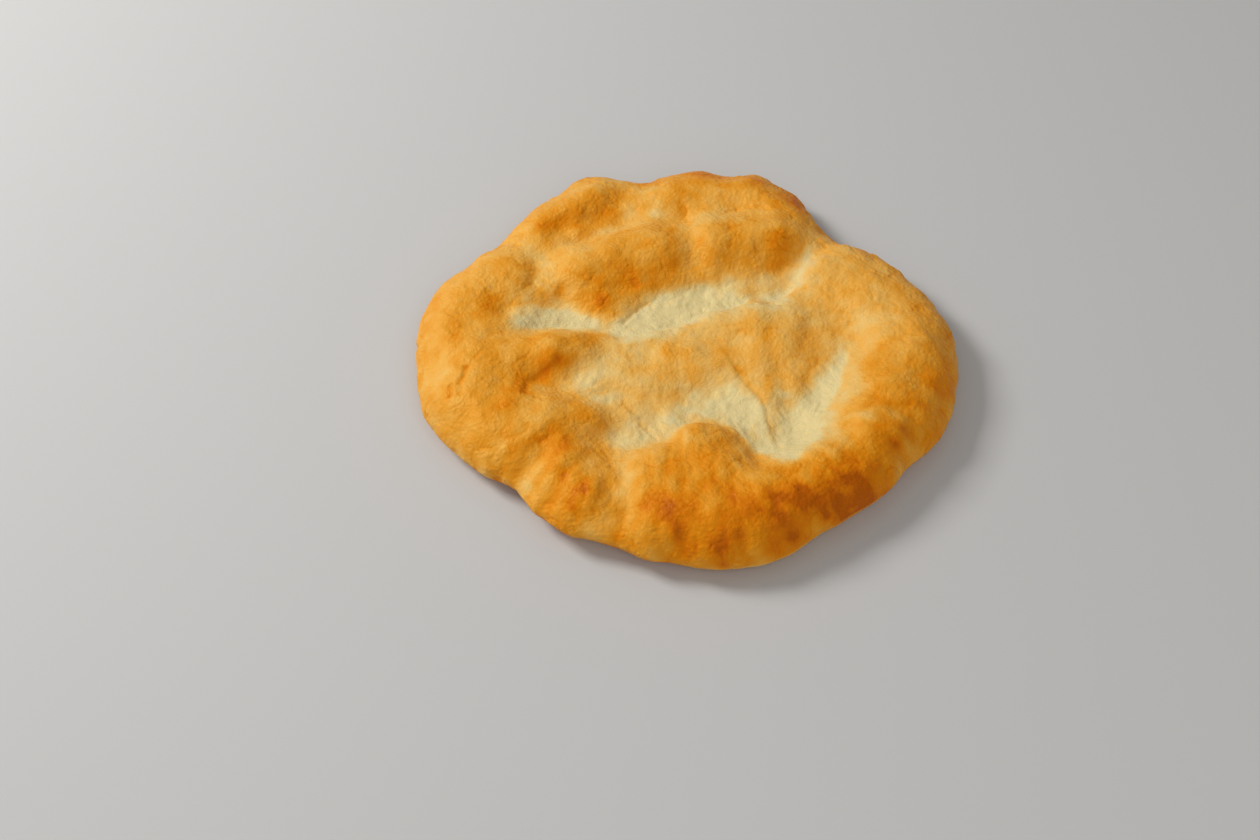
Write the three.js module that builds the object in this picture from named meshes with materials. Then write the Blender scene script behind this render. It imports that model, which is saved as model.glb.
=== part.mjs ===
// A langos: a round of yeast dough, pressed flat by hand, pulled thin in the middle and fried in deep oil.
// The thick edge and the dough between the thin places puff up into rounded mounds. The thin places stay down
// as pale hollows between them. It is one piece of bread, so it is one closed solid.
// Sizes are millimetres and bearings are degrees, counted from +X towards +Y. Z is up, the bread lies on
// Z = 0 with the origin under its middle, and -Y is the side nearest the eater.
import * as THREE from "three";

// Driving dimensions.
const THIN_TOP = 9.5; // height of the top where the dough was pulled thin
const TABLE_TOP = 13; // height of the low table of dough in the middle
const EDGE_SWELL = 15.5; // height of the plain thick edge, between the mounds
const EDGE_SWELL_IN = 16; // how far in from the widest line that thick edge begins to fall
const EDGE_SWELL_FALL = 22; // how far on inwards it has fallen to the thin dough
const RIM_LINE = 7.5; // height of the widest line of the edge
const RIM_LIFT = 0.8; // how much that line rises and falls along the edge
const RIM_WAVES = 5; // how many times it does so
const TOP_ROUND = 17; // how far in from the widest line the edge is rounded, above it
const UNDER_ROUND = 13; // the same, below it
const UNDER_REST = 62; // reach of the flat patch that the bread lies on
const UNDER_DIMPLE = 1.6; // depth of the shallow dimples under the bread, outside that patch
const UNDER_FADE = 12; // how far out from the patch they have reached that depth
const UNDER_SPREAD = 1.7; // how much wider they are than the lumps on top
const MOUND_BLEND = 6; // fillet where two mounds meet
const FOOT_BLEND = 2.5; // fillet where a mound rises out of the thin dough
const LUMP = 0.35; // size of the small lumps all over the top
const LUMP_SPACING = 13; // distance between the closest small lumps
const EDGE_WOBBLE = 0.45; // how much the small lumps move the edge in and out

// How finely the surface is divided.
const TOP_RINGS = 35; // rings of points from the middle to the edge, on top
const SPOKES = 6; // points in the first of them; each ring farther out has as many more
const UNDER_RINGS = 14; // rings underneath
const UNDER_CROWDING = 1.4; // over 1, they lie closer together towards the edge

// The edge seen from above, as [bearing, distance from the middle]: a rounded shape with lobes and dents.
const EDGE = [
  [0, 95.5], [10, 91.5], [20, 86.5], [28, 83.5],
  [34, 78.5], [40, 80], // the dent at the back right, where the long hollow reaches the edge
  [48, 84], [55, 91], [61, 93], [65, 96], [70, 93], [80, 94], [89, 91],
  [95, 89.5], [101, 95], // the dent at the back
  [107, 101], [115, 98], [125, 95.5],
  [134, 92], [145, 94.5], [155, 100], [165, 101], [178, 98.5], [190, 98], [200, 93.5], [210, 89],
  [220, 84.5], [229, 88], // the dent at the front left
  [238, 89.5], [246, 88], [256, 90.5], [266, 93.5], [276, 96], [286, 96],
  [295, 93], [306, 94.5], [318, 95], [330, 98], [338, 98], [345, 98], [353, 99],
];

// The puffed mounds. Each is a rounded ridge from one end to the other, with its half width and its crown's
// height given at both ends, and round 2 for a dome or more for a flatter top with steeper sides.
const MOUNDS = [
  { from: [-50, 66], to: [-27, 77], half: [15, 15], crown: [17.5, 18] }, // back left lobe
  { from: [-34, 44], to: [-6, 47], half: [16, 19], crown: [19.5, 21] }, // back, left of the middle
  { from: [-35, 38], to: [-25, 22], half: [14, 8], crown: [18, 14] }, // its tongue, into the long hollow
  { from: [14, 48], to: [38, 49], half: [19, 16], crown: [21, 20.5] }, // back, right of the middle
  { from: [6, 76], to: [32, 73], half: [16, 14], crown: [18, 17.5] }, // back lobe
  { from: [36, 70], to: [50, 56], half: [12, 11], crown: [17.5, 16] }, // back right lobe
  { from: [-80, 14], to: [-66, 40], half: [24, 22], crown: [18.5, 18], round: 3 }, // left, at the back
  { from: [-72, -2], to: [-46, 1], half: [17, 13], crown: [19.5, 18.5] }, // left
  { from: [-46, 1], to: [-30, 4], half: [13, 7], crown: [18.5, 14], round: 3 }, // its point, into the middle
  { from: [-76, -20], to: [-60, -36], half: [24, 22], crown: [20, 19.5], round: 3 }, // left, at the front
  { from: [-50, -28], to: [-38, -31], half: [13, 10], crown: [18.5, 16.5] }, // the small one inside that
  { from: [-46, -52], to: [-38, -66], half: [15, 14], crown: [19, 18.5] }, // front left lobe
  { from: [1, -48], to: [6, -77], half: [12, 27], crown: [19.5, 20.5], round: 3 }, // front
  { from: [-14, -57], to: [-15, -78], half: [13, 14], crown: [19, 19], round: 3 }, // its left shoulder
  { from: [27, -76], to: [56, -60], half: [18, 19], crown: [20.5, 20], round: 3 }, // front right
  { from: [62, -50], to: [79, -14], half: [20, 20], crown: [20.5, 19.5] }, // right
  { from: [84, 2], to: [64, 26], half: [24, 22], crown: [17.5, 16], round: 3 }, // right, at the back
  { from: [14, 7], to: [34, 6], half: [9, 12], crown: [14.5, 15.5], round: 3 }, // back of the table
  { from: [34, 4], to: [30, -18], half: [16, 12], crown: [15.5, 14], round: 3 }, // right half of the table
  { from: [27, -20], to: [31, -36], half: [7, 4], crown: [13, 11] }, // its point, into the front hollow
  { from: [-6, -4], to: [2, -6], half: [8, 8], crown: [14.5, 14.5] }, // small blister on the table
];

// The hollows where the dough was pulled thin, with the width of their side walls. Each runs through
// [x, y, half width, height of its floor]. The mounds rise out of them.
const HOLLOWS = [
  { // the long one, from the left towards the dent at the back right
    wall: 6,
    path: [
      [-61, 20, 4, 11], [-50, 22, 6, 10], [-40, 21.5, 6, 9.5], [-30, 17, 4, 9.5], [-20, 13, 4, 9.5],
      [-10, 17, 6, 9], [0, 20, 7, 9], [10, 22, 6, 9], [20, 22.5, 5.5, 9], [30, 23, 4, 9.5],
      [40, 28, 2.5, 10.5],
    ],
  },
  { // the right one, inside the thick right edge
    wall: 9,
    path: [[60, -10, 0, 12.5], [54, -18, 1, 10.5], [48, -28, 2, 10], [41, -39, 3, 9.5], [33, -50, 5, 9]],
  },
  { // the front one, behind the front mound
    wall: 15,
    path: [
      [27, -46, 6, 9], [20, -36, 5, 9], [12, -29, 3.5, 9], [3, -28, 2.5, 9], [-6, -31, 2.5, 9.5],
      [-15, -35, 3, 9.5], [-26, -40, 3, 10.5],
    ],
  },
  { // the shallow one at the left of the table
    wall: 8,
    path: [[-38, -9, 2, 12.5], [-34, -17, 3, 12], [-25, -26, 3, 11]],
  },
];

// The grooves, pressed into the mounds last, in the same form.
const GROOVES = [
  { wall: 8, path: [[-30, -48, 1, 14.5], [-30, -62, 0.5, 16.5], [-29, -76, 0.5, 15]] }, // left of the front
  { wall: 8, path: [[-63, -58, 0.5, 13], [-57, -50, 0.5, 16], [-50, -44, 0.5, 17.5]] }, // front left dent
  { // behind the back mounds, from the dent at the back round to the left
    wall: 9,
    path: [[-13, 80, 1, 15], [-18, 70, 1, 15], [-28, 61, 1, 13.5], [-40, 60, 1, 14.5], [-50, 57, 0, 16]],
  },
  { wall: 6, path: [[-50, 50, 0.5, 16], [-51, 42, 0.5, 15], [-52, 34, 0.5, 14]] }, // between left and back
  { wall: 9, path: [[8, 62, 0, 17.5], [6, 48, 0, 18], [7, 36, 0, 13]] }, // between the two back mounds
  { // from the long hollow to the dent at the back right
    wall: 7,
    path: [[38, 26.5, 2, 10.5], [46, 33, 2, 11], [53, 40, 1.5, 12], [60, 47, 1, 12.5], [66, 50, 2, 11]],
  },
];

const lerp = THREE.MathUtils.lerp;
const smoothstep = THREE.MathUtils.smoothstep;
const radians = THREE.MathUtils.degToRad;

/** The larger of two heights, with a fillet of the given size where they cross. */
function smoothMax(a, b, fillet) {
  const near = Math.max(0, 1 - Math.abs(a - b) / fillet);
  return Math.max(a, b) + (fillet / 4) * near * near;
}

/** How far along the line from a to b the point (x, y) lies, from 0 to 1, and its distance from that line. */
function besideLine([ax, ay], [bx, by], x, y) {
  const [dx, dy] = [bx - ax, by - ay];
  const along = THREE.MathUtils.clamp(((x - ax) * dx + (y - ay) * dy) / (dx * dx + dy * dy), 0, 1);
  return { along, off: Math.hypot(x - ax - along * dx, y - ay - along * dy) };
}

/** The edge's distance from the middle at a bearing, on a smooth closed curve through the points of EDGE. */
function edgeReach(bearing) {
  const last = EDGE.findLastIndex(([knotBearing]) => knotBearing <= bearing);
  const knot = (index) => {
    const turns = Math.floor(index / EDGE.length);
    const [knotBearing, reach] = EDGE[index - turns * EDGE.length];
    return [knotBearing + 360 * turns, reach];
  };
  const [before, start, end, after] = [-1, 0, 1, 2].map((step) => knot(last + step));
  const span = end[0] - start[0];
  const t = (bearing - start[0]) / span;
  const startSlope = ((end[1] - before[1]) / (end[0] - before[0])) * span;
  const endSlope = ((after[1] - start[1]) / (after[0] - start[0])) * span;
  const [t2, t3] = [t * t, t * t * t];
  const atEnds = (2 * t3 - 3 * t2 + 1) * start[1] + (3 * t2 - 2 * t3) * end[1];
  return atEnds + (t3 - 2 * t2 + t) * startSlope + (t3 - t2) * endSlope;
}

/** Small uneven lumps, mostly from -1 to 1: waves in many directions, each a little longer than the last. */
function lumps(x, y) {
  const waves = 6;
  const goldenAngle = radians(137.5);
  let sum = 0;
  for (let i = 0; i < waves; i++) {
    const across = x * Math.cos(goldenAngle * i) + y * Math.sin(goldenAngle * i);
    const length = LUMP_SPACING * (1 + i / waves);
    sum += Math.sin((2 * Math.PI * across) / length + i * i);
  }
  return sum / Math.sqrt(waves);
}

/** Height of one mound at (x, y). Outside the mound it falls on below the dough. */
function moundHeight({ from, to, half, crown, round = 2 }, x, y) {
  const { along, off } = besideLine(from, to, x, y);
  const out = off / lerp(half[0], half[1], along);
  return THIN_TOP + (lerp(crown[0], crown[1], along) - THIN_TOP) * (1 - out ** round);
}

/** The height that is left at (x, y) after one hollow or groove is pressed into a given height. */
function press({ path, wall }, x, y, height) {
  let [beside, floor] = [Infinity, 0];
  for (let i = 0; i + 1 < path.length; i++) {
    const [a, b] = [path[i], path[i + 1]];
    const { along, off } = besideLine(a, b, x, y);
    const outside = off - lerp(a[2], b[2], along);
    if (outside < beside) [beside, floor] = [outside, lerp(a[3], b[3], along)];
  }
  const pressed = 1 - smoothstep(beside, 0, wall);
  return lerp(height, Math.min(height, floor), pressed);
}

/** Height of the bread's top at (x, y), before the edge is rounded off. */
function topHeight(x, y, fromEdge) {
  const inwards = Math.max(0, fromEdge - EDGE_SWELL_IN) / EDGE_SWELL_FALL;
  const swell = THIN_TOP + (EDGE_SWELL - THIN_TOP) * (1 - inwards * inwards);
  const raise = (height, mound) => smoothMax(height, moundHeight(mound, x, y), MOUND_BLEND);
  const thin = HOLLOWS.reduce((height, hollow) => press(hollow, x, y, height), TABLE_TOP);
  const puffed = smoothMax(thin, MOUNDS.reduce(raise, swell), FOOT_BLEND);
  return GROOVES.reduce((height, groove) => press(groove, x, y, height), puffed) + LUMP * lumps(x, y);
}

/** Height of the bread's underside at (x, y): flat where it lies, and shallowly dimpled round that. */
function underHeight(x, y) {
  const outside = smoothstep(Math.hypot(x, y), UNDER_REST, UNDER_REST + UNDER_FADE);
  return UNDER_DIMPLE * outside * Math.max(0, lumps(x / UNDER_SPREAD, y / UNDER_SPREAD));
}

/**
 * A point of the surface, on top or underneath, from its bearing and its share of the way from the middle to
 * the widest line. That way runs level first, and then round a quarter of an ellipse.
 */
function surfacePoint(bearing, share, onTop) {
  const turn = radians(bearing);
  const [cos, sin] = [Math.cos(turn), Math.sin(turn)];
  const plainReach = edgeReach(bearing);
  const reach = plainReach + EDGE_WOBBLE * lumps(plainReach * cos, plainReach * sin);
  const rim = RIM_LINE + RIM_LIFT * Math.sin(RIM_WAVES * turn);
  const round = onTop ? TOP_ROUND : UNDER_ROUND;
  const level = reach - round;
  const bend = (Math.PI / 2) * Math.sqrt((round * round + rim * rim) / 2);
  const along = share * (level + bend);
  const rolled = ((Math.PI / 2) * Math.max(0, along - level)) / bend;
  const out = Math.min(along, level) + round * Math.sin(rolled);
  const [x, y] = [out * cos, out * sin];
  const face = onTop ? topHeight(x, y, reach - out) : underHeight(x, y);
  return [x, y, lerp(rim, face, Math.cos(rolled))];
}

/** Joins two closed rings of points, of any counts, with triangles that face up or down. */
function joinRings(outer, inner, facesUp, faces) {
  let [i, j] = [0, 0];
  while (i < outer.length || j < inner.length) {
    const outerIsNext = (i + 1) / outer.length <= (j + 1) / inner.length;
    const stepOuter = j === inner.length || (i < outer.length && outerIsNext);
    const [a, b] = [outer[i % outer.length], inner[j % inner.length]];
    const c = stepOuter ? outer[++i % outer.length] : inner[++j % inner.length];
    if (c !== b) faces.push(...(facesUp ? [a, c, b] : [a, b, c]));
  }
}

/** The whole bread: rings of points from the middle of the top out to the edge, and back underneath. */
function breadGeometry() {
  const positions = [];
  const faces = [];
  const addRing = (share, onTop) => {
    const count = Math.max(1, Math.round(share * SPOKES * TOP_RINGS));
    return Array.from({ length: count }, (_, k) => {
      positions.push(...surfacePoint((360 * k) / count, share, onTop));
      return positions.length / 3 - 1;
    });
  };
  let ring = addRing(0, true);
  for (let r = 1; r <= TOP_RINGS; r++) {
    const next = addRing(r / TOP_RINGS, true);
    joinRings(next, ring, true, faces);
    ring = next;
  }
  for (let r = UNDER_RINGS - 1; r >= 0; r--) {
    const next = addRing(1 - (1 - r / UNDER_RINGS) ** UNDER_CROWDING, false);
    joinRings(ring, next, false, faces);
    ring = next;
  }
  const geometry = new THREE.BufferGeometry();
  geometry.setAttribute("position", new THREE.Float32BufferAttribute(positions, 3));
  geometry.setIndex(faces);
  geometry.computeBoundingBox();
  const middle = geometry.boundingBox.getCenter(new THREE.Vector3());
  geometry.translate(-middle.x, -middle.y, -geometry.boundingBox.min.z);
  geometry.computeVertexNormals();
  return geometry;
}

const crust = new THREE.MeshStandardMaterial({ color: 0xd9953a, roughness: 0.55, metalness: 0 });
const bread = new THREE.Mesh(breadGeometry(), crust);
bread.name = "langos";

const langos = new THREE.Group();
langos.add(bread);
export default langos;
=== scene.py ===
import math

import bmesh
import bpy
import numpy as np
from mathutils import Matrix, Vector, noise


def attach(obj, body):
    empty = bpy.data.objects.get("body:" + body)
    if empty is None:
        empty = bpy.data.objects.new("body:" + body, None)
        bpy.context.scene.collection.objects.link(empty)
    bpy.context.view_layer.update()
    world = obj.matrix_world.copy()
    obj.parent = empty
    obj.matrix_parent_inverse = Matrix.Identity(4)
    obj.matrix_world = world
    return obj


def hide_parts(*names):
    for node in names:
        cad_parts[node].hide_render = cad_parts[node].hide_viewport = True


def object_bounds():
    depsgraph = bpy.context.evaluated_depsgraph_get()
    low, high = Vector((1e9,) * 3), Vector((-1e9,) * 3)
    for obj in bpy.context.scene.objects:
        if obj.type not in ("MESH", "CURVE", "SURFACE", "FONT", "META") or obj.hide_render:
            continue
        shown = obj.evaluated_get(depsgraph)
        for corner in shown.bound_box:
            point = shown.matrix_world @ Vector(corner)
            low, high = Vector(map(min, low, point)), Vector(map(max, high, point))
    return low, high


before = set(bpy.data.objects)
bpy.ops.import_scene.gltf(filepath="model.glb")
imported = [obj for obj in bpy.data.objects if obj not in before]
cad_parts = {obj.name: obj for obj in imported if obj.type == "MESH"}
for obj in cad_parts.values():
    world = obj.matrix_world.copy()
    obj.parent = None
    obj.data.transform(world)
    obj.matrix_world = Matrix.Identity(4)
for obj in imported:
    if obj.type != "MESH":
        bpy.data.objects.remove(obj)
cad_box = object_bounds()
scene = bpy.context.scene

# ---------------------------------------------------------------------------------------------------------
# The bread: a round of yeast dough, pulled thin by hand and fried in deep oil until it puffed.
# It is one piece. The thin places stay pale. The puffed mounds brown, blister and wrinkle.
# ---------------------------------------------------------------------------------------------------------

MM = 0.001  # the lists below are in millimetres, seen from above, in the bread's own frame

# Folds and wrinkles: [points, width, depth, how far the right side of the line stands above the left, and
# how far that step reaches].
FOLDS = [
    # the crease that runs from the low table down into the hollow in front of it
    [[(18, -16), (19.6, -20), (22.5, -25), (25.5, -29.5), (26.4, -34), (27, -44)], 0.9, 0.3, 0.8, 10],
    [[(21, -23), (25.5, -29.5), (26.4, -34), (26.7, -41)], 0.45, 0.2, 0.0, 2],
    # the left end of that hollow
    [[(-23, -25), (-21.5, -28), (-20, -29.5)], 1.0, 0.4, 0.3, 2],
    [[(-18.5, -33), (-17.5, -35.5), (-15, -37.5)], 0.9, 0.35, 0.3, 2],
    # the front foot of the left mound, and the left edge
    [[(-58, -20), (-56.5, -14), (-51, -10.5), (-45, -6.5)], 1.6, 0.6, 0.0, 3],
    [[(-78.5, -7), (-79, -11), (-81, -14)], 1.1, 0.8, 0.3, 3],
    [[(-84, -14), (-84.5, -19)], 1.1, 0.7, 0.3, 3],
    # the back
    [[(7, 68), (8, 62), (8, 55)], 1.8, 0.5, 0.0, 3],
    [[(24, 61.5), (30, 63), (36, 60.5), (39, 59)], 1.0, 0.45, 0.0, 3],
    [[(-51.3, 46), (-51.5, 40), (-53, 35)], 1.2, 0.2, 0.0, 3],
    # fine ones in the thin dough
    [[(-21, 14), (-17, 18), (-14, 22), (-11, 24)], 0.7, 0.4, 0.0, 3],
    [[(5, 15), (9, 16), (14, 20), (20, 19)], 0.5, 0.22, 0.0, 2],
    [[(46, -32), (43, -37), (41, -41), (38, -44)], 0.6, 0.2, 0.0, 2],
]


def beside(path, across, along):
    """Distance from the line through the points of path, and on which side of it: 1 left, -1 right."""
    nearest = np.full(len(across), 1e9)
    side = np.zeros(len(across))
    for (ax, ay), (bx, by) in zip(path, path[1:]):
        run_x, run_y = bx - ax, by - ay
        share = ((across - ax) * run_x + (along - ay) * run_y) / (run_x**2 + run_y**2)
        share = np.clip(share, 0, 1)
        off = np.hypot(across - ax - share * run_x, along - ay - share * run_y)
        turn = np.sign(run_x * (along - ay) - run_y * (across - ax))
        side = np.where(off < nearest, turn, side)
        nearest = np.minimum(nearest, off)
    return nearest, side


# The plain solid's surface, copied, divided and eased until its faces are finer than the blisters.
HALVED_ABOVE = (1.9, 0.9, 5)  # on top, edges longer than this are halved, one round for each
HALVED_ABOVE_BY_FOLDS = (1.9, 0.9, 0.4)
HALVED_ABOVE_UNDER = (3.6, 2.4, 5)
NEAR_A_FOLD = 2
LEANING_DOWN = -0.2  # the upward part of the normal, below which the surface counts as under
bread_mesh = bpy.data.meshes.new("bread")
dough = bmesh.new()
dough.from_mesh(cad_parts["langos"].data)
bmesh.ops.remove_doubles(dough, verts=dough.verts, dist=0.001 * MM)
for longest_on_top, longest_by_folds, longest_under in zip(
    HALVED_ABOVE, HALVED_ABOVE_BY_FOLDS, HALVED_ABOVE_UNDER
):
    dough.normal_update()
    across, along = np.array([point.co.xy for point in dough.verts]).T / MM
    by_folds = np.min([beside(fold[0], across, along)[0] for fold in FOLDS], axis=0) < NEAR_A_FOLD
    long_edges = []
    for edge in dough.edges:
        longest = longest_under
        if edge.verts[0].normal.z > LEANING_DOWN:
            longest = longest_by_folds if by_folds[edge.verts[0].index] else longest_on_top
        if edge.calc_length() > longest * MM:
            long_edges.append(edge)
    bmesh.ops.subdivide_edges(dough, edges=long_edges, cuts=1, use_grid_fill=True)
    bmesh.ops.triangulate(dough, faces=dough.faces)
    bmesh.ops.smooth_vert(
        dough, verts=dough.verts, factor=0.5, use_axis_x=True, use_axis_y=True, use_axis_z=True
    )
for face in dough.faces:
    face.smooth = True
dough.to_mesh(bread_mesh)
dough.free()
bread_mesh.attributes.remove(bread_mesh.attributes["custom_normal"])  # those were the plain solid's

count = len(bread_mesh.vertices)
place = np.empty(3 * count)
bread_mesh.vertices.foreach_get("co", place)
place = place.reshape(-1, 3) / MM
outward = np.empty(3 * count)
bread_mesh.vertex_normals.foreach_get("vector", outward)
outward = outward.reshape(-1, 3)
x, y, z = place.T
from_middle = np.maximum(np.hypot(x, y), 1)


def rise(values, low, high):
    """Smoothly from 0 at low to 1 at high."""
    share = np.clip((values - low) / (high - low), 0, 1)
    return share * share * (3 - 2 * share)


def waves(spacing, pattern):
    """Smooth unevenness, from about -1 to 1, that many millimetres from bump to bump."""
    return 1.5 * np.array([noise.noise(point) for point in (place / spacing + pattern).tolist()])


def drawn_waves(spacing, length, pattern):
    """Unevenness drawn out from the middle to the edge: spacing is across the streaks, length along them."""
    round_about = 70 / (spacing * from_middle)  # the spacing is true 70 mm from the middle
    at = np.stack([x * round_about, y * round_about, from_middle / length + pattern], axis=1)
    return 1.5 * np.array([noise.noise(point) for point in at.tolist()])


def bumps(spacing, pattern):
    """Round bumps of uneven height, from 0 to about 1, that many millimetres apart."""
    found = [noise.voronoi(point) for point in (place / spacing + pattern).tolist()]
    from_centre = np.array([distances[0] for distances, _ in found])
    own = np.array([noise.noise(centres[0] * 5.3) for _, centres in found])
    return np.exp(-((from_centre / 0.36) ** 2)) * rise(own, -0.45, 0.6)


def spots(marks, across, along):
    """Soft round marks added together, each as [x, y, reach in x, reach in y, strength]."""
    total = np.zeros(count)
    for mark_x, mark_y, reach_x, reach_y, strength in marks:
        total += strength * np.exp(-(((across - mark_x) / reach_x) ** 2) - ((along - mark_y) / reach_y) ** 2)
    return total


# Browned marks where the dough stood proud in the oil, together with painted shade on slopes turned from the
# lamp, in notches and in a mound's shadow.
BROWNED_AND_SHADED = [
    # the back left lobe, with painted shade in the notch in front of it
    [-41, 65, 8, 4.5, 0.28], [-47, 61, 5, 4, 0.15], [-32, 62, 6, 4, 0.2], [-22, 68, 6, 4.5, 0.24],
    [-17, 76, 4.5, 5.5, 0.2], [-35, 71, 3, 3, 0.12], [-31, 57.5, 3.5, 2, 0.17], [-28, 74, 5, 6, 0.05],
    # the back lobes
    [6, 67, 2, 4, 0.13], [-7, 67, 1.5, 3, 0.1], [15, 66, 2, 4, 0.13], [14.5, 71, 1.5, 2, 0.12],
    [25, 74, 3, 1.5, 0.13], [5, 73, 5, 2.5, 0.07], [16, 85, 8, 4, 0.15], [38, 75, 3.5, 4, 0.15],
    [51, 62, 3.5, 8, 0.24], [47, 72, 3, 4, 0.12], [36, 62, 4, 1, 0.11], [50, 76, 12, 16, 0.1],
    [52, 63, 4, 8, 0.12], [22, 82, 14, 6, 0.14], [46, 66, 5, 8, 0.08], [4, 86, 24, 6, 0.08],
    # the left side at the back
    [-54, 41, 3.2, 5.5, 0.2], [-60, 43, 5, 4, 0.07], [-55, 33, 3, 3.5, 0.15], [-70, 25, 5.5, 5, 0.28],
    [-66, 27, 5, 3, 0.1], [-72, 19, 5, 4, 0.1], [-68, 11, 6, 3, 0.07], [-84, 8, 6, 5, 0.09],
    # the mound at the back, left of the middle, with its tongue
    [-29, 31, 3, 4, 0.21], [-27, 24, 5, 5, 0.28], [-17, 31, 8, 4, 0.22], [-6, 32, 7, 4, 0.21],
    [1, 36, 4, 5, 0.2], [1.5, 50, 1.8, 8, 0.13], [-12, 42, 4, 3, 0.07], [-43.5, 31, 1.5, 3, 0.23],
    [-49, 31, 1.5, 2.5, 0.17], [-36, 27, 5, 2, 0.13], [-36, 36, 5, 5, 0.05], [-47, 25, 5, 2.5, 0.12],
    [3, 27, 4, 2, 0.08], [2, 54, 4, 8, 0.08], [-26, 24, 6, 5, 0.16], [-14, 29, 8, 3, 0.08],
    [-36, 24, 5, 5, 0.08], [-46, 25, 4, 4, 0.12],
    # the mound at the back, right of the middle
    [12, 34, 7, 3.5, 0.15], [21, 37, 4, 4, 0.17], [31, 36, 5, 4, 0.13], [40, 38, 5, 5, 0.26],
    [47, 42, 5, 3, 0.17], [23, 47, 2.5, 4, 0.07], [36, 56, 4, 4, 0.07], [58, 49, 3, 2, 0.1],
    [49, 37, 3, 4, 0.16],
    # the long hollow, with painted shadow of the mound behind it across its right end
    [-22, 17, 4, 3, 0.17], [35, 28, 5, 3, 0.1], [-57, 19, 3, 2.5, 0.1], [24, 25, 10, 3, 0.14],
    [32, 25, 6, 4, 0.14], [42, 32, 4, 3, 0.14],
    # the low table in the middle, and the slopes beside it
    [-33, 5, 4, 5, 0.15], [30, -8, 6, 7, 0.08], [47, -11, 7, 6, 0.07], [18.5, -16.5, 1.3, 2, 0.2],
    [14, -8, 3, 4, 0.09], [31, -5, 1.3, 3, 0.12], [-5, -5, 4, 4, 0.12], [28, 1, 6, 5, 0.03],
    [0, 1, 6, 3, 0.03],
    # the left mound, out to the edge
    [-92, 3, 3, 2.5, 0.13], [-50, -6, 6, 4, 0.22], [-43, -6, 4, 2.5, 0.2], [-38, -2, 4, 3, 0.15],
    [-53, 10, 3, 4, 0.09], [-41, 2, 8, 4, 0.07], [-51, -11, 4, 3, 0.1], [-50, -10, 5, 3, 0.06],
    # the left side at the front
    [-58, -14, 3, 6, 0.22], [-63, -19, 4, 3, 0.16], [-66, -26, 8, 4, 0.07], [-70, -14, 7, 4, 0.05],
    [-60, -44, 5.5, 2.5, 0.17], [-64, -49, 4, 2.5, 0.12], [-56, -42, 2.5, 2, 0.09],
    [-46, -43, 3.5, 5, 0.17], [-38, -33, 8, 2.5, 0.18], [-39, -24, 2.5, 5, 0.09], [-38, -48, 5, 4, 0.11],
    [-48, -36, 6, 3, 0.05], [-68, -20, 8, 8, 0.1], [-42, -42, 8, 9, 0.06], [-42, -46, 6, 5, 0.06],
    # the front left lobe
    [-47, -58, 3, 4, 0.17], [-48, -64, 4, 3, 0.17], [-42, -66.5, 3.5, 4, 0.2], [-36, -63, 4, 4, 0.09],
    [-33, -57, 4, 3, 0.07], [-36, -73, 4, 3, 0.07], [-46, -52, 12, 16, 0.08], [-48, -57, 6, 5, 0.1],
    [-36, -70, 8, 6, 0.07],
    # the hollow in front of the table, and the slopes round it, with painted shade in the band right of the
    # crease
    [-8, -24, 14, 3.5, 0.1], [2, -34, 6, 3, 0.08], [-14, -27, 10, 4, 0.12], [0, -34, 5, 3, 0.1],
    [-21, -27, 5, 5, 0.1], [-16, -34, 6, 5, 0.14], [0, -27, 8, 3, 0.08], [6, -25, 8, 4, 0.06],
    [20, -36, 4, 5, 0.06], [28.5, -37, 2.5, 9, 0.16], [26.5, -45, 1.5, 6, 0.1], [29, -50, 2.5, 5, 0.16],
    [27, -24, 2, 4, 0.09], [42, -23, 5, 3, 0.15],
    # the front mound, with its near edge browner and also darkened as painted shade
    [10, -45, 3, 7, 0.12], [4, -57, 6, 5, 0.07], [-6, -66, 2.5, 4, 0.11], [-15, -76, 7, 5, 0.13],
    [-12, -79, 6, 4, 0.06], [-4, -75, 2, 5, 0.13], [-5, -84, 4, 3, 0.13], [2, -90, 8, 3, 0.11],
    [9, -77, 1.5, 5, 0.11], [12, -84, 5, 5, 0.05], [5, -78, 34, 14, 0.14], [6, -92, 30, 5, 0.14],
    [8, -82, 20, 7, 0.06], [20, -94, 30, 4, 0.12], [17, -50, 6, 5, 0.08], [-8, -75, 18, 9, 0.09],
    [-14, -73, 5, 6, 0.05],
    # the near right edge
    [24, -86, 5, 3, 0.2], [28, -68, 3, 3, 0.08], [34, -77, 5, 5, 0.18], [42, -80, 8, 4, 0.2],
    [47, -70, 8, 6, 0.22], [50, -76, 9, 5, 0.2], [60, -66, 7, 6, 0.2], [55, -64, 6, 4, 0.1],
    [24, -76, 4, 4, 0.07], [40, -82, 22, 9, 0.12], [62, -76, 20, 7, 0.16], [35, -77, 16, 8, 0.08],
    [70, -58, 8, 6, 0.12], [56, -82, 12, 5, 0.12], [24, -84, 12, 6, 0.08], [58, -68, 9, 5, 0.08],
    [51, -77, 5, 4, 0.12],
    # the right side, with its mound; the band along the right edge is browning and painted shade
    [66, -53, 8, 5, 0.14], [62, -44, 5, 3, 0.11], [66, -34, 4, 6, 0.07], [70, -18, 3.5, 5, 0.12],
    [79, -25, 3, 5, 0.07], [78, -44, 8, 5, 0.07], [86, -38, 4, 10, 0.08], [92, -20, 3, 8, 0.08],
    [66, -17, 3, 2, 0.03], [88, 4, 4, 5, 0.07], [82, -44, 10, 20, 0.14], [86, -10, 6, 20, 0.06],
    [91, -30, 5, 14, 0.1], [70, -50, 8, 6, 0.08],
]
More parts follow.
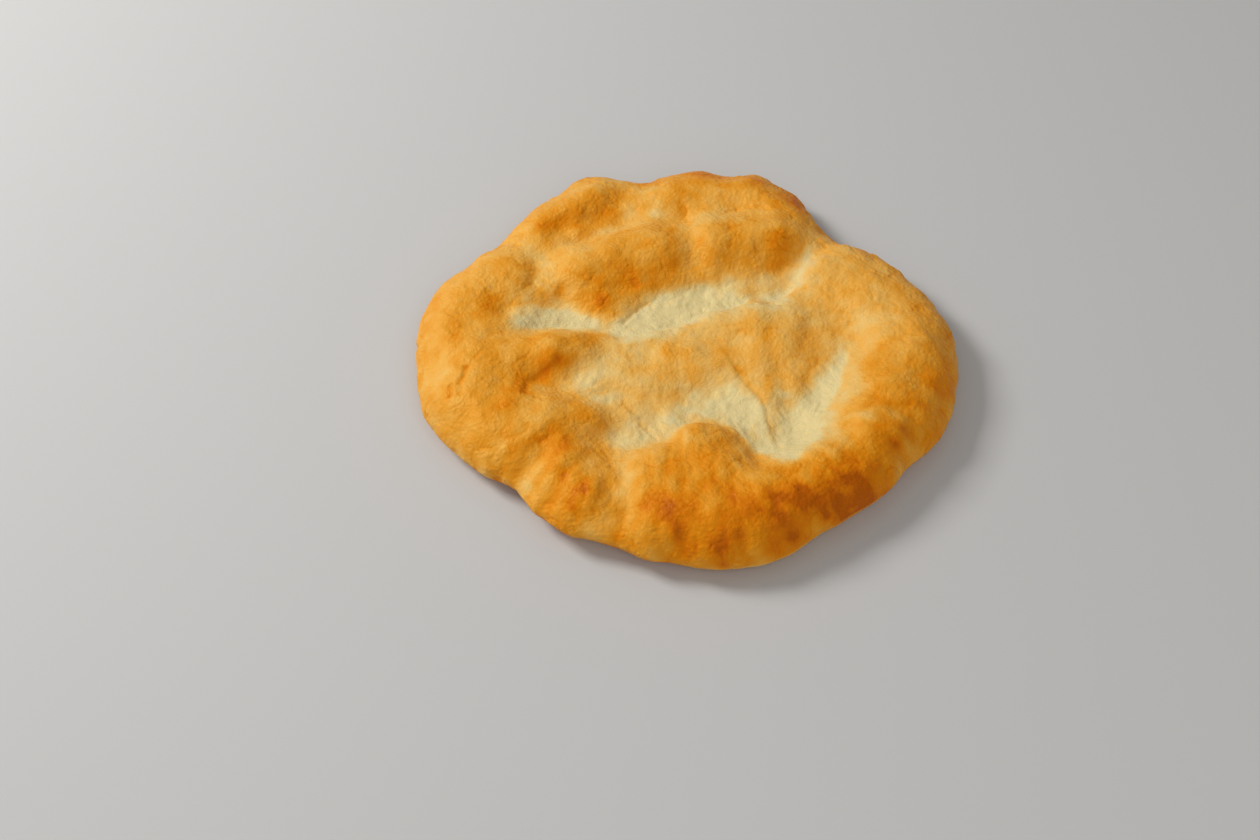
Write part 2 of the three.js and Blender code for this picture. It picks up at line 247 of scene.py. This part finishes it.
# Pale marks: thin dough, places that a neighbour kept out of the oil, and painted light on slopes that face
# the lamp.
PALE_AND_LIT = [
    # the back left lobe
    [-14, 70, 5, 4, 0.12], [-22, 61, 5, 3, 0.1], [-35, 58, 6, 4, 0.1], [-19, 56, 8, 8, 0.1],
    [-13, 69, 4, 4, 0.1],
    # the back lobes
    [-3, 66, 3, 5, 0.1], [-5, 65, 4, 4, 0.08], [38, 61, 4, 4, 0.12], [36, 66, 6, 4, 0.08],
    # the left side at the back
    [-52, 34, 1.6, 4, 0.16], [-54, 51, 4, 4, 0.12],
    # the mound at the back, left of the middle, with its tongue
    [-44, 42, 5, 5, 0.08], [-37, 52, 3, 4, 0.08], [-50, 46, 4, 6, 0.08], [-34, 45, 4, 4, 0.12],
    [-46, 37, 3, 5, 0.1], [-31, 49, 4, 5, 0.08],
    # the mound at the back, right of the middle
    [50, 34, 4, 8, 0.12], [28, 54, 7, 5, 0.1], [15, 56, 4, 6, 0.1], [50, 33, 4, 8, 0.08],
    [18, 56, 10, 7, 0.1], [13, 51, 6, 5, 0.08],
    # the long hollow, with painted light over the shade at its left end
    [-50, 21, 9, 5, 0.24], [-36, 18, 6, 3, 0.12], [-12, 15, 9, 7, 0.16], [6, 20, 12, 6, 0.16],
    [24, 18, 10, 5, 0.14], [38, 15, 4, 8, 0.16], [44, 27, 3, 6, 0.12], [10, 13, 8, 3.5, 0.22],
    [30, 13, 9, 4, 0.16], [-57, 20, 4, 6, 0.18], [-63, 25, 4, 4, 0.1], [33, 15, 6, 4, 0.12],
    [43, 22, 5, 5, 0.14], [-57, 17, 4, 4, 0.18], [45, 25, 2.5, 6, 0.1], [-55, 28, 3, 3, 0.14],
    [-51, 20, 5, 6, 0.08], [41, 24, 3, 3, 0.12], [24, 15, 4, 3, 0.1],
    # the low table in the middle, and the slopes beside it
    [-30, -22, 5, 5, 0.16], [0, -1, 5, 4, 0.05], [-20, -14, 10, 8, 0.06], [6, -6, 3, 6, 0.08],
    [-16, 5, 7, 4, 0.22], [-2, 8, 7, 3, 0.1], [15, 9, 9, 4, 0.12], [-9, 6, 6, 4, 0.2],
    [-25, -2, 6, 4, 0.1], [-16, -16, 7, 4, 0.1], [4, 0, 5, 4, 0.1], [-30, -13, 10, 7, 0.1],
    [-22, 5, 6, 4, 0.1], [-8, 5, 8, 4, 0.1], [6, 6, 8, 5, 0.1], [24, 8, 14, 4, 0.12],
    [34, 12, 3, 3, 0.1], [-11, -20, 5, 3, 0.1], [-18, -3, 6, 4, 0.1],
    # the left mound, out to the edge
    [-38, -1, 8, 4, 0.1], [-49, 12, 4, 3, 0.1], [-92, -5, 5, 8, 0.06], [-80, 3, 6, 5, 0.1],
    # the left side at the front
    [-36, -14, 6, 5, 0.16], [-40, -15, 6, 4, 0.18], [-84, -22, 6, 6, 0.1], [-50, -31, 5, 4, 0.12],
    [-84, -20, 4, 8, 0.06],
    # the front left lobe
    [-59, -57, 4, 4, 0.16], [-27, -57, 3, 6, 0.08],
    # the hollow in front of the table, and the slopes round it, with painted light on the right mound's
    # inner slope, which faces the lamp
    [8, -27, 10, 5, 0.16], [20, -33, 5, 9, 0.18], [31, -50, 7, 9, 0.2], [40, -40, 6, 12, 0.18],
    [50, -24, 4, 8, 0.18], [-8, -33, 6, 3, 0.14], [-20, -40, 7, 4, 0.16], [33, -61, 6, 3, 0.12],
    [31, -56, 6, 5, 0.38], [41, -45, 5, 7, 0.26], [46, -36, 3.5, 7, 0.14], [54, -20, 4, 6, 0.12],
    [55, -30, 4, 9, 0.22], [40, -60, 5, 4, 0.14], [30, -29, 4, 4, 0.14], [37, -52, 8, 6, 0.2],
    [31, -60, 3, 3, 0.14], [50, -57, 6, 4, 0.18], [28, -59, 3, 5, 0.16], [29, -34, 3, 7, 0.12],
    [42, -38, 4, 12, 0.12], [31, -27, 5, 6, 0.14], [46, -24, 3, 4, 0.14], [50, -51, 3, 5, 0.1],
    [39, -49, 3, 7, 0.1], [57, -44, 4, 5, 0.08], [30, -56, 3, 4, 0.12],
    # the front mound
    [-25, -62, 3, 12, 0.08], [-25, -62, 5, 6, 0.12], [-20, -48, 6, 5, 0.1], [13, -43, 3, 4, 0.08],
    [4, -43, 3, 3, 0.08],
    # the near right edge
    [66, -73, 7, 5, 0.08],
    # the right side, with its mound, and painted light on its inner slope, which faces the lamp
    [57, -14, 4, 5, 0.14], [66, 6, 3, 10, 0.04], [68, -4, 8, 4, 0.1], [70, 15, 8, 8, 0.08],
    [60, 5, 6, 6, 0.08], [51, 32, 5, 6, 0.12], [57, -12, 4, 6, 0.14], [55, 24, 6, 6, 0.14],
    [80, -18, 5, 5, 0.14], [82, -26, 5, 12, 0.08], [74, 0, 6, 10, 0.08], [62, 20, 4, 5, 0.1],
    [60, -15, 5, 6, 0.08], [58, -22, 3, 5, 0.1], [66, 28, 8, 8, 0.05],
]
# Lines along which thin pale dough meets browned crust: [points, how much browner the right side is].
MEETINGS = [
    # the front mound's inner edge
    [
        [(1, -31), (4.4, -32.8), (9.4, -37.2), (13.3, -42.2), (17.8, -48.3), (22.2, -54.4), (26.7, -61.5)],
        0.2,
    ],
    # the right mound's inner edge
    [[(32, -63.5), (36.7, -58), (42.2, -52), (46.5, -44), (49.5, -37.8), (52.5, -29), (57.5, -16)], 0.14],
    # the tongue's edge
    [[(8, 29.5), (0, 28), (-9, 24.5), (-14, 21), (-18, 16.5), (-22, 14.3), (-28, 15.5), (-38, 22)], 0.16],
    # the left mound's back edge
    [[(-60, 13), (-50, 16), (-44, 16), (-38, 14.5), (-31, 12)], 0.12],
]

# How brown the crust is, from 0 to 1, with painted shade and painted light laid into it by the marks. It
# browns most where it is thick, stands tall or turns down at the rim. The outlines of the marks wander a
# little.
THINNEST, BY_THICKNESS, BY_HEIGHT = 0.06, 0.35, 0.11
wandering_x = x + 1.6 * waves(8, 2.0) + 0.7 * waves(3.3, 4.0)
wandering_y = y + 1.6 * waves(8, 12.0) + 0.7 * waves(3.3, 14.0)
facing_out = (x * outward[:, 0] + y * outward[:, 1]) / from_middle
rim = rise(from_middle, 55, 70) * rise(facing_out, 0.2, 0.55)
thick = np.maximum(rise(z + 0.7 * waves(6, 11.0), 8.8, 12.8), rim)
tall = np.maximum(rise(z, 13.5, 19), rim)
top_browning_and_light = THINNEST + BY_THICKNESS * thick + BY_HEIGHT * tall + spots(BROWNED_AND_SHADED, wandering_x, wandering_y)
top_browning_and_light -= spots(PALE_AND_LIT, wandering_x, wandering_y)
for path, difference in MEETINGS:
    off, side = beside(path, 0.7 * x + 0.3 * wandering_x, 0.7 * y + 0.3 * wandering_y)
    top_browning_and_light -= 0.5 * difference * side * rise(off, 0, 1) * np.exp(-off / 3)
browned_under = 0.6 + 0.16 * waves(26, 31.0) + 0.12 * waves(9, 32.0)
on_top = rise(outward[:, 2], -0.25, 0.15)
browning_and_painted_light = browned_under + on_top * (top_browning_and_light - browned_under)

# A slightly paler line round the side, where the bread floated.
FLOATING_HEIGHT = 7.0
floating_line = np.exp(-(((z - FLOATING_HEIGHT + 1.5 * waves(14, 21.0)) / 2.4) ** 2))
on_side = 1 - rise(np.abs(outward[:, 2]), 0.35, 0.8)
browning_and_painted_light -= 0.07 * floating_line * on_side

# The folds, with lines that waver a little.
folds = np.zeros(count)
fold_lines = np.zeros(count)
wavering_x = x + 0.35 * waves(4, 41.0)
wavering_y = y + 0.35 * waves(4, 42.0)
for path, width, depth, step, reach in FOLDS:
    off, side = beside(path, wavering_x, wavering_y)
    line = np.exp(-((off / width) ** 2))
    folds -= depth * line + 0.5 * step * side * (1 - line) * np.exp(-((off / reach) ** 2))
    fold_lines += depth * line

# Gentle swells and dips of the dough, as round marks with their height last.
SWELLS = [
    # the back left lobe
    [-33, 55, 6, 3, -1.4], [-34, 61, 6, 3, 1.0],
    # the left side at the back
    [-54, 37, 4, 7, 0.7],
    # the mound at the back, left of the middle, with its tongue
    [-46, 31, 4, 6, 1.0], [-18, 24, 6, 3, -0.8], [-20, 32, 9, 3, 0.5], [5, 41, 3.5, 6, 0.8],
    # the mound at the back, right of the middle
    [51, 43, 6, 6, 2.2], [57, 44, 5, 5, 1.0],
    # the long hollow
    [-63, 23, 6, 6, -3.2], [-49, 22, 6, 6, 1.0], [-24, 19, 5, 4, -1.4], [35, 15, 4, 4, -1.8],
    [39, 21, 4.5, 4.5, -1.8], [42, 26, 4.5, 5, -2.0], [46, 27, 3.5, 5, -1.2], [24, 21, 5, 6, 0.8],
    [31, 22, 4, 6, -0.6],
    # the low table in the middle, and the slopes beside it
    [-33, -5, 4, 5, 1.1], [23, -9, 3.5, 10, 0.5], [31.5, -8, 3, 10, -1.1], [31, -22, 8, 7, -2.8],
    [52, -12, 9, 10, -1.8], [24, -20, 5, 5, -1.4], [14, -22, 4, 4, 0.5], [36, 6, 7, 8, -1.4],
    [50, 6, 4, 8, 0.5],
    # the left mound, out to the edge
    [-42, 1, 4, 5, -0.6],
    # the left side at the front
    [-41, -37, 4, 5, 0.6],
    # the hollow in front of the table, and the slopes round it
    [22, -56, 3.5, 3.5, 1.0], [-7, -37, 5, 3, 1.0], [-12, -31, 3, 5, -0.7], [-21, -31, 5, 6, 0.8],
    [-28, -33, 3, 4, 0.5], [43, -23, 4, 6, -1.9], [38, -23, 3, 6, 0.2], [30, -25, 4, 6, 0.5],
    [32, -33, 4, 6, -1.2], [18, -25, 4, 4, 0.7], [35, -37, 5, 13, -1.6], [23.5, -35, 4, 13, 1.1],
    # the front mound
    [13, -44, 4, 5, 1.8], [17, -49, 3.5, 3.5, 1.0], [5, -45, 4, 5, -1.2], [9, -53, 4, 4, -1.0],
    [15, -60, 4, 4, -0.5], [-14, -70, 5, 10, 0.3], [0, -68, 6, 12, -0.3],
    # the near right edge
    [33, -83, 5, 4, 0.6],
    # the right side, with its mound
    [60, -3, 6, 8, -1.4], [87, -28, 7, 18, 2.1], [78, -46, 6, 7, 1.7], [68, -55, 6, 5, 0.9],
]
swells = spots(SWELLS, x, y)

# The skin itself, with each mark's greatest height or depth in millimetres. Fried skin has blisters and
# close-set pimples, wrinkles along the edge, crinkles in patches and streaks down the near side. Thin pale
# skin has fine creases. The right side is the lumpiest.
BLISTER, PIMPLE, WRINKLE, CRINKLE, STREAK, CREASE = 0.5, 0.4, 0.3, 0.42, 0.32, 0.52
fried = rise(browning_and_painted_light, 0.12, 0.5)
blisters = BLISTER * bumps(7.5, 51.0)
pimples = PIMPLE * bumps(2.8, 52.0)
furrows = np.clip(1 - 6 * np.abs(drawn_waves(8, 2.6, 56.0)), 0, 1)
wrinkles = -WRINKLE * furrows * rise(from_middle, 60, 75) * rise(waves(16, 56.0), 0, 0.5)
narrow_lines = np.clip(1 - 7 * np.abs(waves(6.5, 59.0)), 0, 1)
crinkles = -CRINKLE * narrow_lines * rise(waves(9, 60.0), -0.1, 0.5)
streaks = STREAK * drawn_waves(3.6, 9, 53.0) * rise(-y, 25, 50)
creases = CREASE * np.abs(waves(3.6, 58.0))
uneven = 0.25 * waves(9.5, 54.0) + 0.16 * waves(4.8, 55.0) + 0.06 * waves(2.6, 57.0)
uneven *= 1 + 0.6 * rise(x, 35, 65)
skin = (0.3 + 0.7 * fried) * (blisters + pimples + wrinkles + crinkles + streaks) + (1 - fried) * creases
relief = swells + uneven + skin + folds - 0.1
relief = relief * (0.35 + 0.65 * on_top) - 0.15 * (1 - on_top)  # flatter and lower underneath

# The browning is mottled and deeper on blisters. Painted shade darkens the bottom of folds, wrinkles,
# crinkles and streaks, and the streaks' ridges are painted lighter.
browning_and_painted_light += 0.09 * waves(11, 61.0) + 0.08 * waves(4.4, 62.0)
browning_and_painted_light += 0.15 * (blisters - 0.05) + 0.22 * fold_lines
browning_and_painted_light -= 0.3 * (crinkles + wrinkles) + 0.35 * fried * streaks
browning_and_painted_light = np.clip(browning_and_painted_light, 0, 1)

place += relief[:, None] * outward
lowest, highest = (np.array(corner) / MM for corner in cad_box)
place = np.clip(place, lowest, highest)  # no point leaves the plain solid's box
bread_mesh.vertices.foreach_set("co", (place * MM).ravel())
bread_mesh.attributes.new("browning_and_painted_light", "FLOAT", "POINT").data.foreach_set("value", browning_and_painted_light)
bread_mesh.update()

# The crust: cream where it is thin, through golden to brown, with a thin film of oil.
CRUST_COLOURS = [
    [0.00, (0.74, 0.61, 0.30)],
    [0.12, (0.76, 0.56, 0.228)],
    [0.30, (0.80, 0.47, 0.12)],
    [0.45, (0.81, 0.39, 0.058)],
    [0.60, (0.77, 0.31, 0.021)],
    [0.75, (0.74, 0.24, 0.004)],
    [0.88, (0.67, 0.175, 0.001)],
    [1.00, (0.50, 0.105, 0.001)],
]
crust = bpy.data.materials.new("fried crust")
crust.use_nodes = True
nodes, links = crust.node_tree.nodes, crust.node_tree.links
skin_shader = nodes["Principled BSDF"]
where = nodes.new("ShaderNodeTexCoord").outputs["Object"]


def grain(spacing, detail, roughness):
    """Fine unevenness from 0 to 1 with its bumps that many millimetres apart."""
    node = nodes.new("ShaderNodeTexNoise")
    node.inputs["Scale"].default_value = 1 / (spacing * MM)
    node.inputs["Detail"].default_value = detail
    node.inputs["Roughness"].default_value = roughness
    links.new(where, node.inputs["Vector"])
    return node.outputs["Fac"]


def arithmetic(operation, *values):
    """One step of arithmetic on sockets and plain numbers."""
    node = nodes.new("ShaderNodeMath")
    node.operation = operation
    for socket, value in zip(node.inputs, values):
        if isinstance(value, float):
            socket.default_value = value
        else:
            links.new(value, socket)
    return node.outputs[0]


def added(base, extra, amount):
    """base + (extra - 0.5) * amount."""
    return arithmetic("MULTIPLY_ADD", extra, amount, arithmetic("SUBTRACT", base, amount / 2))


def mapped(value, low, high, to_low=0, to_high=1, way="LINEAR"):
    """value, with the range from low to high brought onto the range from to_low to to_high."""
    node = nodes.new("ShaderNodeMapRange")
    node.interpolation_type = way
    node.inputs["From Min"].default_value = low
    node.inputs["From Max"].default_value = high
    node.inputs["To Min"].default_value = to_low
    node.inputs["To Max"].default_value = to_high
    links.new(value, node.inputs["Value"])
    return node.outputs["Result"]


def bumped(shape, height, normal=None):
    """The shading normal of a relief that many millimetres high, over an earlier normal if there is one."""
    node = nodes.new("ShaderNodeBump")
    node.inputs["Strength"].default_value = 1
    node.inputs["Distance"].default_value = height * MM
    links.new(shape, node.inputs["Height"])
    if normal:
        links.new(normal, node.inputs["Normal"])
    return node.outputs["Normal"]


# Pinhead pimples, fainter on pale skin.
PINHEAD_SPACING, PINHEAD_HEIGHT = 1.8, 0.14
pinhead_centres = nodes.new("ShaderNodeTexVoronoi")
pinhead_centres.inputs["Scale"].default_value = 1 / (PINHEAD_SPACING * MM)
links.new(where, pinhead_centres.inputs["Vector"])
pinhead_shape = mapped(pinhead_centres.outputs["Distance"], 0.75, 0, way="SMOOTHSTEP")
crust_tone_read = nodes.new("ShaderNodeAttribute")
crust_tone_read.attribute_name = "browning_and_painted_light"
pinheads_kept = mapped(crust_tone_read.outputs["Fac"], 0.1, 0.5, to_low=0.25)
pinheads = arithmetic("MULTIPLY", pinhead_shape, pinheads_kept)

# The colour follows the browning, with painted shade a little darker between the pinheads.
tone = added(crust_tone_read.outputs["Fac"], grain(2.4, 2, 0.5), 0.04)
tone = added(tone, pinheads, -0.04)
ramp = nodes.new("ShaderNodeValToRGB")
stops = ramp.color_ramp.elements  # it starts with one at 0 and one at 1
for at, colour in CRUST_COLOURS[1:-1]:
    stops.new(at)
for stop, (at, colour) in zip(stops, CRUST_COLOURS):
    stop.color = (*colour, 1)
links.new(tone, ramp.inputs["Fac"])
links.new(ramp.outputs["Color"], skin_shader.inputs["Base Color"])

oil = mapped(grain(5, 4, 0.55), 0, 1, to_low=0.4, to_high=0.66)
links.new(oil, skin_shader.inputs["Roughness"])
skin_shader.inputs["Specular IOR Level"].default_value = 0.3
skin_shader.inputs["Specular Tint"].default_value = (1.0, 0.65, 0.15, 1)
skin_shader.inputs["Subsurface Weight"].default_value = 0.12
skin_shader.inputs["Subsurface Radius"].default_value = (1.0, 0.5, 0.2)
skin_shader.inputs["Subsurface Scale"].default_value = 1 * MM

# The finest relief: the pinheads, and skin puffed up between hair-fine creases.
HAIRLINE_SPACING, HAIRLINE_HEIGHT = 2.0, 0.55
puffed_between = arithmetic("ABSOLUTE", arithmetic("SUBTRACT", grain(HAIRLINE_SPACING, 1, 0.5), 0.5))
with_pinheads = bumped(pinheads, PINHEAD_HEIGHT)
with_hairlines = bumped(puffed_between, HAIRLINE_HEIGHT, with_pinheads)
links.new(with_hairlines, skin_shader.inputs["Normal"])

bread_mesh.materials.clear()
bread_mesh.materials.append(crust)
bread = bpy.data.objects.new("bread", bread_mesh)
scene.collection.objects.link(bread)
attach(bread, "root")
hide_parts("langos")

# ---------------------------------------------------------------------------------------------------------
# The floor: a wide pale matt board that the bread lies on.
# It only stages the bread, and isn't part of it.
# ---------------------------------------------------------------------------------------------------------

FLOOR_HALF_SIDE = 3.0
floor_mesh = bpy.data.meshes.new("floor")
sheet = bmesh.new()
bmesh.ops.create_grid(sheet, x_segments=1, y_segments=1, size=FLOOR_HALF_SIDE)
sheet.to_mesh(floor_mesh)
sheet.free()
matt = bpy.data.materials.new("pale matt board")
matt.use_nodes = True
matt_shader = matt.node_tree.nodes["Principled BSDF"]
matt_shader.inputs["Base Color"].default_value = (0.55, 0.54, 0.525, 1)
matt_shader.inputs["Roughness"].default_value = 0.85
floor_mesh.materials.append(matt)
floor = bpy.data.objects.new("floor", floor_mesh)
scene.collection.objects.link(floor)

# ---------------------------------------------------------------------------------------------------------
# The light: a soft lamp at the back left, as in the photograph, a wide faint one on the near side,
# and an even pale surround.
# ---------------------------------------------------------------------------------------------------------

lamp = bpy.data.lights.new("soft lamp", "AREA")
lamp.size = 0.4
lamp.energy = 11.4
lamp_place = bpy.data.objects.new("soft_lamp", lamp)
lamp_place.location = (-0.83, 0.48, 0.80)
lamp_place.rotation_euler = (-Vector(lamp_place.location)).to_track_quat("-Z", "Y").to_euler()
scene.collection.objects.link(lamp_place)

fill = bpy.data.lights.new("wide fill", "AREA")
fill.size = 1.0
fill.energy = 4
fill_place = bpy.data.objects.new("wide_fill", fill)
fill_place.location = (0.16, -0.91, 0.84)
fill_place.rotation_euler = (-Vector(fill_place.location)).to_track_quat("-Z", "Y").to_euler()
scene.collection.objects.link(fill_place)

surround = bpy.data.worlds.new("pale surround")
surround.use_nodes = True
surround.node_tree.nodes["Background"].inputs["Color"].default_value = (1, 1, 1, 1)
surround.node_tree.nodes["Background"].inputs["Strength"].default_value = 0.3
scene.world = surround
scene.view_settings.view_transform = "Standard"

# ---------------------------------------------------------------------------------------------------------
# The camera: from the near side and well above, leaning 38.6 degrees up from straight down,
# and turned a little about its own axis, as the photograph was taken.
# ---------------------------------------------------------------------------------------------------------

camera = bpy.data.cameras.new("camera")
camera.sensor_width = 36
camera.lens = 44.75
camera.clip_start = 0.01
camera_place = bpy.data.objects.new("camera", camera)
lean = Matrix.Rotation(math.radians(38.6), 4, "X")
turn = Matrix.Rotation(math.radians(-5.97), 4, "Z")
camera_place.matrix_world = Matrix.Translation((-0.02189, -0.37614, 0.44177)) @ lean @ turn
scene.collection.objects.link(camera_place)
scene.camera = camera_place
